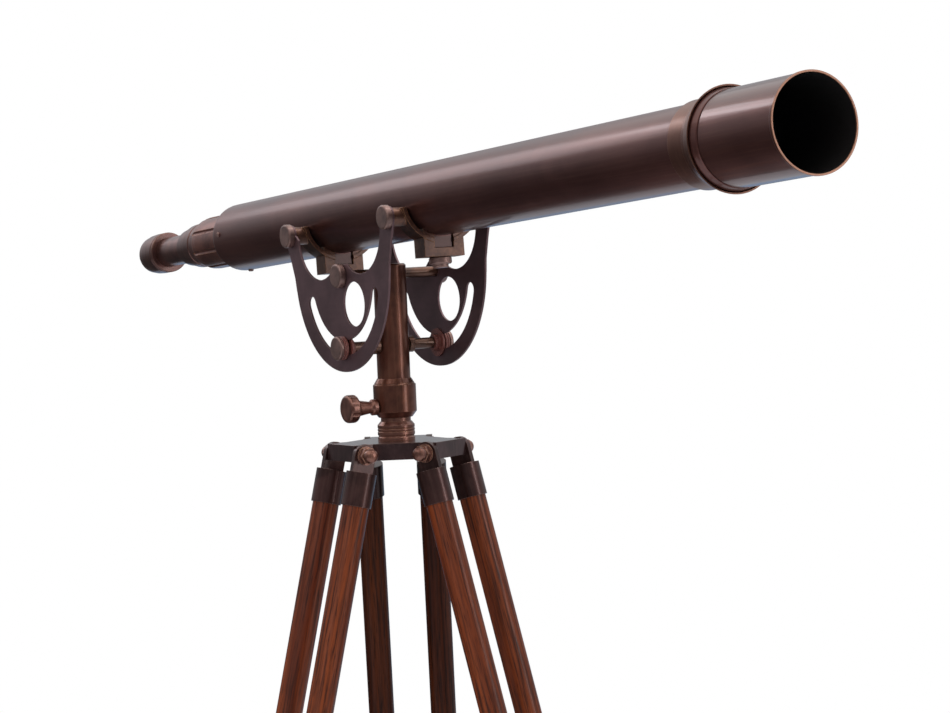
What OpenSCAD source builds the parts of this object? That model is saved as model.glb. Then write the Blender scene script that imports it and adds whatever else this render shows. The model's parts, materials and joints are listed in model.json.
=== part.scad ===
// Long refracting telescope in a cradle of two side plates, on a wooden tripod.
// Everything is drawn about the tripod's own axis with the floor at z = 0, and
// moved at the end so that the origin is under the middle of the whole object.

/* [Telescope tube] */
// Outer diameter of the main tube
tube_d = 70; // [64:1:76]
// Wall of the main tube
tube_wall = 1.5; // [1:0.25:2.5]
// Length of the main tube in front of the balance point
tube_front_len = 572; // [450:1:620]
// Length of the main tube behind the balance point
tube_back_len = 324; // [260:1:360]
// Angle by which the tube points up
tilt_rest = 3.9; // [0:0.1:12]
// How far the dew hood stands out beyond the main tube
hood_step = 5.1; // [4.6:0.1:7]
// Wall of the dew hood
hood_wall = 1; // [0.8:0.1:1.6]
// Length of the dew hood
hood_len = 117; // [80:1:160]
// How far the rolled rim stands out beyond the hood
rim_step = 0.9; // [0.6:0.1:2]
// How far the flared lip of the objective cell stands out beyond the hood
lip_step = 4.2; // [3.5:0.1:6]
// Thickness of the objective lens at its edge
lens_edge = 11; // [8:0.5:12]

/* [Eyepiece end] */
// Diameter of the fluted grip ring
grip_d = 55.6; // [52:0.1:60]
// Length of the fluted grip ring
grip_len = 69; // [50:1:80]
// Number of flutes on the grip ring
grip_flutes = 8; // [6:1:12]
// Length of the stepped collar behind the grip ring
collar_len = 56; // [44:1:64]
// Outer diameter of the draw tube
draw_d = 31.8; // [30:0.1:34]
// Wall of the draw tube
draw_wall = 1; // [0.8:0.1:1.5]
// Length of the draw tube that shows between collar and eyecup
draw_show = 58; // [40:1:70]
// Length of the draw tube inside the main tube
draw_inside = 54; // [40:1:80]
// Largest diameter of the eyecup
eyecup_d = 44; // [42:0.5:50]
// Length of the eyecup
eyecup_len = 52; // [46:1:60]

/* [Cradle] */
// Distance from the tilt pivot up to the middle of the tube
pivot_to_tube = 62.4; // [60:0.2:68]
// Clear distance between the two side plates
plate_gap = 101; // [99:1:106]
// Thickness of a side plate
plate_t = 2; // [1.5:0.5:4]
// Radius of the round lower part of a side plate
plate_r = 97; // [95:0.5:102]
// Distance from the plate's round edge in to the middle of the arc slot
slot_inset = 28; // [26:0.5:29]
// Width of the arc slot
slot_w = 14.4; // [12.5:0.1:14.8]
// Angle from straight down to the end of the arc slot
slot_half_angle = 71; // [60:1:72]
// Radius of the round window in a side plate
window_r = 21.4; // [16:0.2:22]
// Distance from the pivot to a saddle, along the tube
saddle_x = 102.5; // [101:0.5:106]
// Width of a saddle strap, along the tube
saddle_w = 22; // [18:1:28]
// Gap between the tube and a saddle strap
strap_gap = 3.6; // [2:0.2:5]
// Thickness of a saddle strap
saddle_t = 3.8; // [2.6:0.1:4.6]
// Width of the cast block under the tube
block_w = 42; // [38:1:50]
// Length of the cast block, along the tube
block_len = 20; // [18:1:24]
// Diameter of a disc headed cradle bolt
disc_head_d = 23; // [20:0.5:24]
// Thickness of a disc headed cradle bolt
disc_head_t = 6.6; // [5:0.2:10]

/* [Pillar] */
// Height of the tilt pivot above the hinge line of the legs
pivot_rise = 171; // [168:1:190]
// Diameter of the pillar
pillar_d = 31.8; // [30:0.2:34]
// Diameter of the sleeve round the foot of the pillar
sleeve_d = 41.4; // [40:0.2:46]
// Length of the sleeve
sleeve_len = 37.6; // [34:0.2:42]
// Diameter of the pivot rod
pivot_rod_d = 10.2; // [9:0.1:11]
// Diameter of the clamp rod
clamp_rod_d = 10.6; // [9:0.1:11]
// Diameter of the spigot on which the pillar turns
spigot_d = 20; // [18:0.5:22]
// Distance from the pillar's axis to the outer face of the thumbscrew
thumb_reach = 54; // [50:1:60]

/* [Tripod head] */
// Height of the leg hinges above the floor
hinge_z = 1197; // [1100:1:1300]
// How far the leg hinges lie below the middle of the head plate
hinge_drop = 2; // [0:0.5:3]
// Distance from the tripod's axis to a leg hinge
hinge_r = 52; // [52:0.5:58]
// Distance from the tripod's axis to the end of an arm
arm_r = 61; // [60:0.5:66]
// Width of an arm
arm_w = 54.6; // [52:0.2:56]
// Thickness of the head plate
head_t = 16; // [14:0.5:18]
// Diameter of the ringed hub collar
hub_d = 36; // [34:0.5:40]
// Height of the ringed hub collar
hub_h = 18.5; // [17:0.5:21]
// Diameter of a leg hinge bolt
hinge_bolt_d = 8; // [6:0.5:10]

/* [Legs] */
// Angle of a leg from upright
splay = 14; // [8:0.5:20]
// Distance between the two rods of a leg
rod_pitch = 62.3; // [62:0.1:64]
// Diameter of an upper rod
rod_d = 25.4; // [22:0.2:26]
// Distance from the hinge to the lower end of the upper rods
rod_end = 702; // [600:1:760]
// Outer diameter of a rod ferrule
ferrule_d = 29; // [26.6:0.1:30.4]
// Distance from the hinge to the lower end of a ferrule
ferrule_end = 49; // [44:0.5:60]
// Diameter of the lower leg rod
lower_d = 24; // [22:0.2:25]
// Distance from the hinge to the top of the lower leg rod
lower_top = 585; // [560:1:600]
// Height of the clamp bracket at the foot of the upper rods
bracket_h = 44; // [36:1:50]
// Length of the metal shoe on the lower leg rod
shoe_len = 92; // [70:1:110]

/* [Clearances] */
// Gap on the radius of a running fit
run_fit = 0.06; // [0.03:0.01:0.1]
// Gap on the radius between pieces that are fixed together
seat_fit = 0.05; // [0.02:0.01:0.1]
// Gap between pieces that slide past each other
side_gap = 0.3; // [0.2:0.05:0.5]

/* [Hidden] */
$fn = 96;
FAST = 48;

BRONZE = [0.33, 0.25, 0.22];
DARK_BRONZE = [0.22, 0.17, 0.16];
COPPER = [0.42, 0.28, 0.20];
WOOD = [0.42, 0.22, 0.12];
GLASS = [0.75, 0.85, 0.90];
FIBRE = [0.45, 0.16, 0.13];

// Tripod legs: letter and the direction in which each one stands
LEG_ANGLES = [-90, 30, 150];
LEG_NAMES = ["leg_a", "leg_b", "leg_c"];

// Levels of the tripod head and the pillar, above the floor
head_top = hinge_z + hinge_drop + head_t / 2;
head_bottom = head_top - head_t;
hub_top = head_top + hub_h;
neck_h = 3.8;
nut_t = 5;
nut_d = 34;
neck_d = 29;
pillar_foot = hub_top + neck_h + side_gap;
pivot_z = hinge_z + pivot_rise;
pillar_cap = 9.5;
slot_mid_r = plate_r - slot_inset;
clamp_rod_z = pivot_z - slot_mid_r;
spigot_top = clamp_rod_z - clamp_rod_d / 2 - 5;
bore_top = spigot_top + 2;
thumb_z = pillar_foot + 10.7;
thumb_shank_d = 7;

// Places along the tube, measured forwards from the balance point
tube_r = tube_d / 2;
tube_bore_r = tube_r - tube_wall;
shoulder = 9;
tail_t = 3;
tail_end = -tube_back_len - tail_t;
tail_face = tail_end + shoulder + 1;
bush_disc_t = 12;
grip_front = tail_end - side_gap;
grip_back = grip_front - grip_len;
grip_relief = 2.8;
grip_core = grip_d / 2 - 2 * grip_relief;
tail_lip_r = grip_core + side_gap;
collar_back = grip_back - collar_len;
draw_socket = 20;
draw_back = collar_back - draw_show - draw_socket;
eyecup_front = collar_back - draw_show;
eyecup_back = eyecup_front - eyecup_len;
draw_front = tail_face + bush_disc_t + draw_inside;
draw_r = draw_d / 2;
eye_bore_r = draw_r - 3.4;
eye_face = eyecup_back + 16;
cell_wall = 2.2;
cell_back = tube_front_len - 16;
cell_step_at = cell_back + 22;
lens_back = tube_front_len + side_gap;
lens_front = lens_back + lens_edge;
lens_hold_r = tube_bore_r - 1.9;
cell_seat = lens_front + 2.5;
hood_back = cell_seat + 4.5;
hood_front = hood_back + hood_len;
hood_r = tube_r + hood_step;
hood_bore_r = hood_r - hood_wall;
hood_rim_r = hood_r + rim_step;
spigot_len = 12;
lip_wall = 1.4;
lip_r = hood_r + lip_step;
lip_front = hood_back + 5.7;

// Cradle outlines, measured from the pivot along and square to the tube
disc_y = 5;
scallop_x = 42;
scallop_y = 43;
scallop_r = 43.8;
hump_y = 10.5;
horn_tip_y = 47;
horn_tip_r = 10.5;
horn_boss_r = 8;
window_x = 22.4;
window_y = -28.4;
clamp_head_t = 4;
fibre_t = 5;
nut_face = 1.6;
clamp_seat = plate_gap / 2 + plate_t + fibre_t + 2 * side_gap;
plate_in = plate_gap / 2;
plate_out = plate_in + plate_t;
horn_drop = pivot_to_tube - horn_tip_y;
strap_in_r = tube_d / 2 + strap_gap;
strap_out_r = strap_in_r + saddle_t;
block_drop = 54.5;
block_low = pivot_to_tube - block_drop;
foot_w = 19.6;
foot_len = 16;
foot_drop = 11;
screw_d = 6;

// Leg sizes, measured down the leg from its hinge
tang_t = 5.6;
tang_w = 22;
tang_in = arm_w / 2 + side_gap;
ferrule_top = 16.5;
rod_top = ferrule_top + 4;
bracket_bottom = rod_end - 2;
bracket_top = bracket_bottom - bracket_h;
knob_boss = 24;
guide_h = 22;
guide_cap = 3;
leg_len = hinge_z / cos(splay);
shoe_top = leg_len - shoe_len;
shoe_socket = 34;
knob_stud_d = 6;

// Reach of the whole object, which places the origin
axis_rise = pivot_z + pivot_to_tube * cos(tilt_rest);
axis_back = -pivot_to_tube * sin(tilt_rest);
reach_front = axis_back + hood_front * cos(tilt_rest) + hood_rim_r * sin(tilt_rest);
eye_edge_r = 9;
reach_back = axis_back + eyecup_back * cos(tilt_rest) - eye_edge_r * sin(tilt_rest);
foot_tip_r = 9;
foot_reach = hinge_r + leg_len * sin(splay) + foot_tip_r / cos(splay);
origin_x = (reach_front + reach_back) / 2;
origin_y = (leg_side_reach() - foot_reach) / 2;

// Furthest reach towards +Y: the shoes of the two legs that stand at 30 and 150 degrees
function leg_side_reach() =
    let (centre = (hinge_r + leg_len * sin(splay)) * sin(30))
    centre + norm([foot_tip_r / cos(splay) * sin(30), foot_tip_r * cos(30)]);

module place() {
    translate([-origin_x, -origin_y, 0]) children();
}

// Stands children, drawn about the tilt pivot, in the cradle's rest attitude
module in_cradle() {
    place() translate([0, 0, pivot_z]) rotate([0, -tilt_rest, 0]) children();
}

// Turns a profile of [radius, place along the tube] points about the tube's axis
module along_tube(points) {
    in_cradle() translate([0, 0, pivot_to_tube]) rotate([0, 90, 0])
        rotate_extrude() polygon(points);
}

// Stands children in the frame of one leg: down the leg is -Z, outwards is +X
module in_leg(index) {
    place() rotate([0, 0, LEG_ANGLES[index]]) translate([hinge_r, 0, hinge_z])
        rotate([0, -splay, 0]) children();
}

// A cylinder along Y from one place to another
module y_rod(d, from, to) {
    translate([0, from, 0]) rotate([-90, 0, 0]) cylinder(d = d, h = to - from);
}

// A cylinder along X from one place to another
module x_rod(d, from, to) {
    translate([from, 0, 0]) rotate([0, 90, 0]) cylinder(d = d, h = to - from);
}

// A straight bar between two lengths down a leg
module leg_bar(d, from, to) {
    translate([0, 0, -to]) cylinder(d = d, h = to - from);
}

// Round headed screw, turned about Z with its outer face at the top: collar, neck and head
module turned_knob(seat, face, head_d, head_t, stem_d, collar_d) {
    rim = 3;
    centre_r = head_d / 2 - rim;
    rotate_extrude() polygon(concat(
        [[0, seat], [collar_d / 2 - 0.8, seat], [collar_d / 2, seat + 0.8],
         [collar_d / 2, seat + 4.4], [stem_d / 2 + 0.6, seat + 5.8], [stem_d / 2, seat + 7],
         [stem_d / 2 + 2, face - head_t - 2.4], [stem_d / 2 + 3.6, face - head_t]],
        [for (a = [0 : 22.5 : 90])
            [centre_r + rim * sin(a), face - head_t + rim - rim * cos(a)]],
        [for (a = [0 : 22.5 : 90]) [centre_r + rim * cos(a), face - rim + rim * sin(a)]],
        [[0, face]]
    ));
}

// Shallow finger scallops round the head of a knob
module knob_scallops(count, head_d, depth, from, to) {
    scallop_d = 8;
    for (i = [0 : count - 1]) rotate([0, 0, (i + 0.5) * 360 / count])
        translate([(head_d + scallop_d) / 2 - depth, 0, from])
            cylinder(d = scallop_d, h = to - from, $fn = FAST);
}

// Tripod head

// Plan of the three-armed head plate
module head_plan() {
    flank = hinge_r - tang_w / 2 - side_gap;
    polygon([for (a = LEG_ANGLES) each [
        for (p = [[flank, -1], [arm_r, -1], [arm_r, 1], [flank, 1]])
            [p[0] * cos(a) - p[1] * arm_w / 2 * sin(a), p[0] * sin(a) + p[1] * arm_w / 2 * cos(a)]
    ]]);
}

module head_plate() {
    color(DARK_BRONZE) place() difference() {
        translate([0, 0, head_bottom]) linear_extrude(height = head_t) head_plan();
        translate([0, 0, head_bottom - 1])
            cylinder(r = spigot_d / 2 + seat_fit, h = head_t + 2);
        translate([0, 0, head_bottom - 1]) cylinder(r = nut_d / 2 + seat_fit, h = nut_t + 1);
        for (a = LEG_ANGLES) rotate([0, 0, a]) translate([hinge_r, 0, hinge_z])
            y_rod(hinge_bolt_d + 2 * seat_fit, -arm_w, arm_w);
    }
}

// Hub collar, neck and the spigot that the pillar turns on
module spindle() {
    stem_low = head_bottom;
    r = hub_d / 2;
    ring = 0.7;
    color(COPPER) place() rotate_extrude() polygon([
        [0, stem_low], [spigot_d / 2 - 1, stem_low], [spigot_d / 2, stem_low + 1],
        [spigot_d / 2, head_top], [r, head_top], [r, head_top + 3.4],
        [r - ring, head_top + 4.1], [r - ring, head_top + 5.1],
        [r, head_top + 5.8], [r, head_top + 8.6], [r - ring, head_top + 9.2],
        [r, head_top + 9.8], [r, head_top + 11.4], [r - ring, head_top + 12],
        [r, head_top + 12.6], [r, hub_top - 3.4], [neck_d / 2 + 0.8, hub_top],
        [neck_d / 2, hub_top], [neck_d / 2, hub_top + neck_h],
        [spigot_d / 2, hub_top + neck_h], [spigot_d / 2, spigot_top - 1.5],
        [spigot_d / 2 - 1.5, spigot_top], [0, spigot_top]
    ]);
}

// Round nut, sunk into the underside of the head plate, that holds the spindle
module spindle_nut() {
    color(COPPER) place() difference() {
        translate([0, 0, head_bottom]) cylinder(d = nut_d, h = nut_t - seat_fit);
        translate([0, 0, head_bottom - 1]) cylinder(r = spigot_d / 2 + seat_fit, h = nut_t + 2);
    }
}

// Legs

// Bolt through one arm of the head, with a domed hexagon nut outside each tang
module hinge_bolt(index) {
    face = tang_in + tang_t + side_gap;
    washer_r = 9;
    washer_t = 1;
    nut_end = face + 7.6;
    corner_r = 8.5;
    dome_r = 6.8;
    tip = face + 16.9;
    color(COPPER) place() rotate([0, 0, LEG_ANGLES[index]]) translate([hinge_r, 0, hinge_z])
        for (side = [-1, 1]) rotate([side * -90, 0, 0]) {
            rotate_extrude() polygon([
                [0, 0], [hinge_bolt_d / 2, 0], [hinge_bolt_d / 2, face], [washer_r, face],
                [washer_r, face + washer_t], [dome_r - 1.5, face + washer_t],
                [dome_r - 1.5, nut_end - 0.6], [dome_r, nut_end - 0.6], [dome_r, tip - 5],
                [dome_r - 0.7, tip - 3], [dome_r - 2, tip - 1.4], [dome_r - 4, tip - 0.4],
                [0, tip]
            ]);
            translate([0, 0, face + washer_t - 0.2]) linear_extrude(height = nut_end - face - washer_t + 0.2)
                polygon([for (i = [0 : 5]) corner_r * [cos(60 * i), sin(60 * i)]]);
        }
}

// The pair of metal ferrules of one leg, each with the tang that hangs on the hinge bolt
module ferrules(index) {
    color(DARK_BRONZE) in_leg(index) for (side = [-1, 1]) {
        middle = side * rod_pitch / 2;
        tang_y = side > 0 ? tang_in : -tang_in - tang_t;
        difference() {
            union() {
                translate([0, middle, 0]) leg_bar(ferrule_d, ferrule_top, ferrule_end);
                translate([0, tang_y, 0]) y_rod(tang_w, 0, tang_t);
                translate([-tang_w / 2, tang_y, -ferrule_top - 1])
                    cube([tang_w, tang_t, ferrule_top + 1]);
            }
            translate([0, middle, 0])
                leg_bar(rod_d + 2 * seat_fit, rod_top, ferrule_end + 1);
            translate([0, tang_y, 0]) y_rod(hinge_bolt_d + 2 * run_fit, -1, tang_t + 1);
        }
    }
}

// One round wooden rod of a leg's upper pair
module upper_rod(index, side) {
    color(WOOD) in_leg(index) translate([0, side * rod_pitch / 2, 0])
        leg_bar(rod_d, rod_top + seat_fit, rod_end);
}

// Casting that ties the upper rods together and clamps the lower rod
module bracket(index) {
    ring_d = rod_d + 8;
    web = 14;
    color(DARK_BRONZE) in_leg(index) difference() {
        union() {
            for (y = [-rod_pitch / 2, rod_pitch / 2]) translate([0, y, 0])
                leg_bar(ring_d, bracket_top, bracket_bottom);
            leg_bar(lower_d + 10, bracket_top, bracket_bottom);
            translate([-web / 2, -rod_pitch / 2, -bracket_bottom])
                cube([web, rod_pitch, bracket_h]);
            translate([0, 0, -(bracket_top + bracket_bottom) / 2]) x_rod(15, 0, knob_boss);
        }
        for (y = [-rod_pitch / 2, rod_pitch / 2]) translate([0, y, 0])
            leg_bar(rod_d + 2 * seat_fit, bracket_top - 1, bracket_bottom + 1);
        leg_bar(lower_d + 2 * run_fit, bracket_top - 1, bracket_bottom + 1);
        translate([0, 0, -(bracket_top + bracket_bottom) / 2])
            x_rod(knob_stud_d + 2 * run_fit, 0, knob_boss + 1);
    }
}

// Cross-head on top of the lower rod that slides between the upper rods
module guide(index) {
    half = rod_pitch / 2 - 8;
    color(DARK_BRONZE) in_leg(index) difference() {
        union() {
            translate([-10, -half, -lower_top - guide_h]) cube([20, 2 * half, guide_h]);
            leg_bar(lower_d + 7, lower_top, lower_top + guide_h);
        }
        for (y = [-rod_pitch / 2, rod_pitch / 2]) translate([0, y, 0])
            leg_bar(rod_d + 2 * side_gap, lower_top - 1, lower_top + guide_h + 1);
        leg_bar(lower_d + 2 * seat_fit, lower_top + guide_cap, lower_top + guide_h + 1);
    }
}

module lower_rod(index) {
    color(WOOD) in_leg(index)
        leg_bar(lower_d, lower_top + guide_cap + seat_fit, shoe_top + shoe_socket);
}

// Metal shoe with a tapered tip, cut level where it stands on the floor
module shoe(index) {
    r = lower_d / 2 + 1.8;
    socket = shoe_top + shoe_socket + seat_fit;
    color(DARK_BRONZE) in_leg(index) difference() {
        rotate([180, 0, 0]) rotate_extrude() polygon([
            [0, socket], [lower_d / 2 + seat_fit, socket],
            [lower_d / 2 + seat_fit, shoe_top], [r, shoe_top], [r, shoe_top + 40],
            [r + 0.9, shoe_top + 42], [r + 0.9, shoe_top + 46], [r, shoe_top + 48],
            [foot_tip_r + 1, leg_len - 14], [foot_tip_r, leg_len - 12], [foot_tip_r, leg_len + 6],
            [0, leg_len + 6]
        ]);
        translate([0, 0, -leg_len]) rotate([0, splay, 0])
            translate([-shoe_len / 2, -shoe_len / 2, -shoe_len]) cube(shoe_len);
    }
}

// Clamp knob whose stud presses on the lower rod
module leg_knob(index) {
    level = (bracket_top + bracket_bottom) / 2;
    seat = knob_boss + side_gap;
    face = seat + 26;
    head_d = 25;
    head_t = 10;
    color(COPPER) in_leg(index) translate([0, 0, -level]) rotate([0, 90, 0]) difference() {
        union() {
            translate([0, 0, lower_d / 2 + side_gap])
                cylinder(d = knob_stud_d, h = seat - lower_d / 2);
            turned_knob(seat, face, head_d, head_t, 11, 14);
        }
        knob_scallops(8, head_d, 0.8, face - head_t - 1, face + 1);
    }
}

// Pillar

module pillar() {
    top = pivot_z + pillar_cap;
    r = pillar_d / 2;
    color(COPPER) place() difference() {
        rotate_extrude() polygon([
            [0, bore_top], [spigot_d / 2 + run_fit, bore_top], [spigot_d / 2 + run_fit, pillar_foot],
            [r, pillar_foot], [r, top - 1.6], [r - 1.6, top], [0, top]
        ]);
        translate([0, 0, pivot_z]) y_rod(pivot_rod_d + 2 * seat_fit, -r - 1, r + 1);
        translate([0, 0, clamp_rod_z]) y_rod(clamp_rod_d + 2 * seat_fit, -r - 1, r + 1);
        translate([0, 0, thumb_z]) y_rod(thumb_shank_d + 2 * run_fit, -r - 1, 0);
    }
}

module sleeve() {
    r = sleeve_d / 2;
    inner = pillar_d / 2 + seat_fit;
    low = pillar_foot;
    top = low + sleeve_len;
    color(COPPER) place() difference() {
        rotate_extrude() polygon([
            [inner, low], [inner + 0.5, low], [r, low + 5.4], [r, top - 6.4],
            [r - 0.6, top - 5.6], [r - 1.4, top - 5.4], [r - 1.4, top - 4.6],
            [inner + 0.5, top], [inner, top]
        ]);
        translate([0, 0, thumb_z]) y_rod(thumb_shank_d + 2 * run_fit, -r - 1, 0);
    }
}

module pivot_rod() {
    reach = plate_out + side_gap + disc_head_t - nut_face;
    color(DARK_BRONZE) place() translate([0, 0, pivot_z]) y_rod(pivot_rod_d, -reach, reach);
}

// Rod through the arc slots, with a shoulder ring on each side of the pillar
module clamp_rod() {
    reach = clamp_seat + clamp_head_t - nut_face;
    ring = pillar_d / 2 + side_gap;
    color(DARK_BRONZE) place() translate([0, 0, clamp_rod_z]) {
        y_rod(clamp_rod_d, -reach, reach);
        for (y = [-ring - 5, ring]) y_rod(clamp_rod_d + 5, y, y + 5);
    }
}

// A disc headed nut on the end of a rod: its inner face is at y = from, side is -1 or 1
module disc_nut(side, from, bore_d, thick) {
    r = disc_head_d / 2;
    rotate([side * -90, 0, 0]) rotate_extrude() polygon([
        [bore_d / 2, from], [r - 0.4, from], [r, from + 0.6], [r, from + thick - 1.4],
        [r - 0.5, from + thick - 0.5], [r - 1.6, from + thick], [0, from + thick],
        [0, from + thick - nut_face + seat_fit], [bore_d / 2, from + thick - nut_face + seat_fit]
    ]);
}

module pivot_knob(side) {
    color(BRONZE) place() translate([0, 0, pivot_z])
        disc_nut(side, plate_out + side_gap, pivot_rod_d + 2 * seat_fit, disc_head_t);
}

module clamp_knob(side) {
    color(BRONZE) place() translate([0, 0, clamp_rod_z])
        disc_nut(side, clamp_seat, clamp_rod_d + 2 * run_fit, clamp_head_t);
}

// Flanged collars inside the plates and fibre washers outside them, on the clamp rod
module clamp_washers() {
    inside = plate_in - side_gap;
    outside = plate_out + side_gap;
    bore = clamp_rod_d / 2 + seat_fit;
    w = fibre_t / 2;
    color(FIBRE) place() translate([0, 0, clamp_rod_z]) for (side = [-1, 1])
        rotate([side * -90, 0, 0]) rotate_extrude() {
            polygon([
                [bore, inside - 6.4], [7.4, inside - 6.4], [8, inside - 5.8], [8, inside - 1.6],
                [13.6, inside - 1.6], [13.6, inside], [bore, inside]
            ]);
            polygon([
                [bore, outside], [10.8, outside], [11.4, outside + 0.6], [11.4, outside + w - 0.6],
                [10.8, outside + w], [11.4, outside + w + 0.6], [11.4, outside + fibre_t - 0.6],
                [10.8, outside + fibre_t], [bore, outside + fibre_t]
            ]);
        }
}

module pan_thumbscrew() {
    seat = sleeve_d / 2 + side_gap;
    head_d = 27;
    head_t = 11;
    color(COPPER) place() translate([0, 0, thumb_z]) rotate([90, 0, 0]) difference() {
        union() {
            translate([0, 0, spigot_d / 2 + side_gap])
                cylinder(d = thumb_shank_d, h = seat + 1 - spigot_d / 2);
            turned_knob(seat, thumb_reach, head_d, head_t, 11.4, 15.6);
        }
        knob_scallops(8, head_d, 0.8, thumb_reach - head_t - 1, thumb_reach + 1);
    }
}

// Cradle

// Right hand horn of a side plate, before the scallop is cut
module horn_outline() {
    polygon([
        [40, hump_y - 4], [plate_r - 3.5, -12], [plate_r - 0.6, -8], [plate_r + 1.4, 5],
        [saddle_x + 2.6, 25], [saddle_x + horn_tip_r - 0.6, horn_tip_y - 3.6],
        [saddle_x + horn_tip_r - 0.6, horn_tip_y], [saddle_x - horn_tip_r + 0.6, horn_tip_y],
        [scallop_x + scallop_r - 3, scallop_y - 4]
    ]);
    translate([saddle_x, horn_tip_y]) circle(r = horn_tip_r);
}

// Outline of a side plate about the pivot, x along the tube and y square to it
module plate_outline() {
    difference() {
        union() {
            intersection() {
                translate([0, disc_y]) circle(r = plate_r);
                translate([-2 * plate_r, -2 * plate_r])
                    square([4 * plate_r, 2 * plate_r + hump_y]);
            }
            horn_outline();
            mirror([1, 0, 0]) horn_outline();
        }
        for (x = [-scallop_x, scallop_x]) translate([x, scallop_y]) circle(r = scallop_r);
    }
}

// Arc slot, concentric with the pivot. Its round ends are a hair narrower than the slot,
// so that no two of its curves only touch.
module slot_outline() {
    reach = 2 * slot_mid_r;
    end_x = slot_mid_r * sin(slot_half_angle);
    end_y = -slot_mid_r * cos(slot_half_angle);
    intersection() {
        difference() {
            circle(r = slot_mid_r + slot_w / 2);
            circle(r = slot_mid_r - slot_w / 2);
        }
        polygon([
            [0, 0], [-2 * end_x, 2 * end_y], [-reach, -reach], [reach, -reach], [2 * end_x, 2 * end_y]
        ]);
    }
    for (x = [-end_x, end_x]) translate([x, end_y]) circle(d = slot_w - 2 * seat_fit);
}

module side_plate(side) {
    low_y = side > 0 ? plate_in : -plate_out;
    color(BRONZE) in_cradle() translate([0, low_y, 0]) rotate([90, 0, 0]) mirror([0, 0, 1])
        linear_extrude(height = plate_t) difference() {
            plate_outline();
            slot_outline();
            translate([window_x, window_y]) circle(r = window_r);
            circle(r = pivot_rod_d / 2 + run_fit);
            for (s = [-1, 1]) translate([s * saddle_x, horn_tip_y])
                circle(r = screw_d / 2 + seat_fit);
        }
}

// Cradle strap under the tube with its cast block, drawn about the tube's axis
module saddle(end) {
    boss_in = strap_in_r * 0.9;
    color(DARK_BRONZE) in_cradle() translate([end * saddle_x, 0, pivot_to_tube]) difference() {
        union() {
            difference() {
                rotate([0, 90, 0]) cylinder(r = strap_out_r, h = saddle_w, center = true);
                rotate([0, 90, 0]) cylinder(r = strap_in_r, h = saddle_w + 2, center = true);
                translate([-saddle_w, -2 * strap_out_r, horn_boss_r - horn_drop])
                    cube([2 * saddle_w, 4 * strap_out_r, 2 * strap_out_r]);
            }
            translate([-block_len / 2, -block_w / 2, -block_drop])
                cube([block_len, block_w, block_drop - tube_r + 8]);
            for (side = [-1, 1]) translate([0, 0, -horn_drop]) rotate([side * -90, 0, 0])
                translate([0, 0, boss_in]) cylinder(r = horn_boss_r + 0.8, h = plate_in - boss_in);
        }
        rotate([0, 90, 0]) cylinder(r = tube_r + seat_fit, h = 2 * saddle_w, center = true);
        translate([-block_len, -foot_w / 2 - side_gap, -tube_r - foot_drop - side_gap])
            cube([2 * block_len, foot_w + 2 * side_gap, foot_drop + 10]);
        translate([0, 0, -horn_drop]) y_rod(screw_d + 2 * seat_fit, -plate_out, plate_out);
        translate([0, 0, -block_drop - 1])
            cylinder(r = screw_d / 2 + run_fit, h = 20);
    }
}

// Disc headed bolt through a horn tip into the saddle's boss
module horn_bolt(end, side) {
    color(BRONZE) in_cradle() translate([end * saddle_x, 0, horn_tip_y]) rotate([side * -90, 0, 0]) {
        r = disc_head_d / 2;
        from = plate_out;
        rotate_extrude() polygon([
            [0, strap_in_r + 1.6], [screw_d / 2, strap_in_r + 1.6], [screw_d / 2, from],
            [r - 0.4, from], [r, from + 0.6], [r, from + disc_head_t - 1.4],
            [r - 0.5, from + disc_head_t - 0.5], [r - 1.6, from + disc_head_t],
            [0, from + disc_head_t]
        ]);
    }
}

// Stepped thumb screw from below the block into the foot under the tube
module saddle_screw(end) {
    seat = block_low - side_gap;
    color(BRONZE) in_cradle() translate([end * saddle_x, 0, 0]) rotate_extrude() polygon([
        [0, seat - 10], [6.4, seat - 10], [7.4, seat - 9], [7.4, seat - 6.6], [9.6, seat - 6.6],
        [10.8, seat - 5.4], [10.8, seat - 1], [9.8, seat], [screw_d / 2, seat],
        [screw_d / 2, seat + 16], [0, seat + 16]
    ]);
}

// Telescope

// Main tube with its rounded tail and the two feet that sit in the saddles
module main_tube() {
    color(BRONZE) in_cradle() translate([0, 0, pivot_to_tube]) difference() {
        union() {
            rotate([0, 90, 0]) rotate_extrude() polygon(concat(
                [[tube_bore_r, tube_front_len], [tube_r, tube_front_len]],
                [for (a = [0 : 15 : 90])
                    [tube_r - shoulder * (1 - cos(a)), tail_end + shoulder * (1 - sin(a))]],
                [[tail_lip_r, tail_end], [tail_lip_r, tail_face], [tube_bore_r, tail_face]]
            ));
            for (end = [-1, 1])
                translate([end * saddle_x - foot_len / 2, -foot_w / 2, -tube_r - foot_drop])
                    cube([foot_len, foot_w, foot_drop + 1]);
        }
        for (end = [-1, 1]) translate([end * saddle_x, 0, -tube_r - foot_drop - 1])
            cylinder(r = screw_d / 2 + run_fit, h = foot_drop);
    }
}

// Flare of the objective cell: share of its rise, and share of the way to its front edge
FLARE = [[0.17, 0.03], [0.21, 0.22], [0.37, 0.5], [0.7, 0.78], [0.96, 0.93], [1, 1]];

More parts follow.
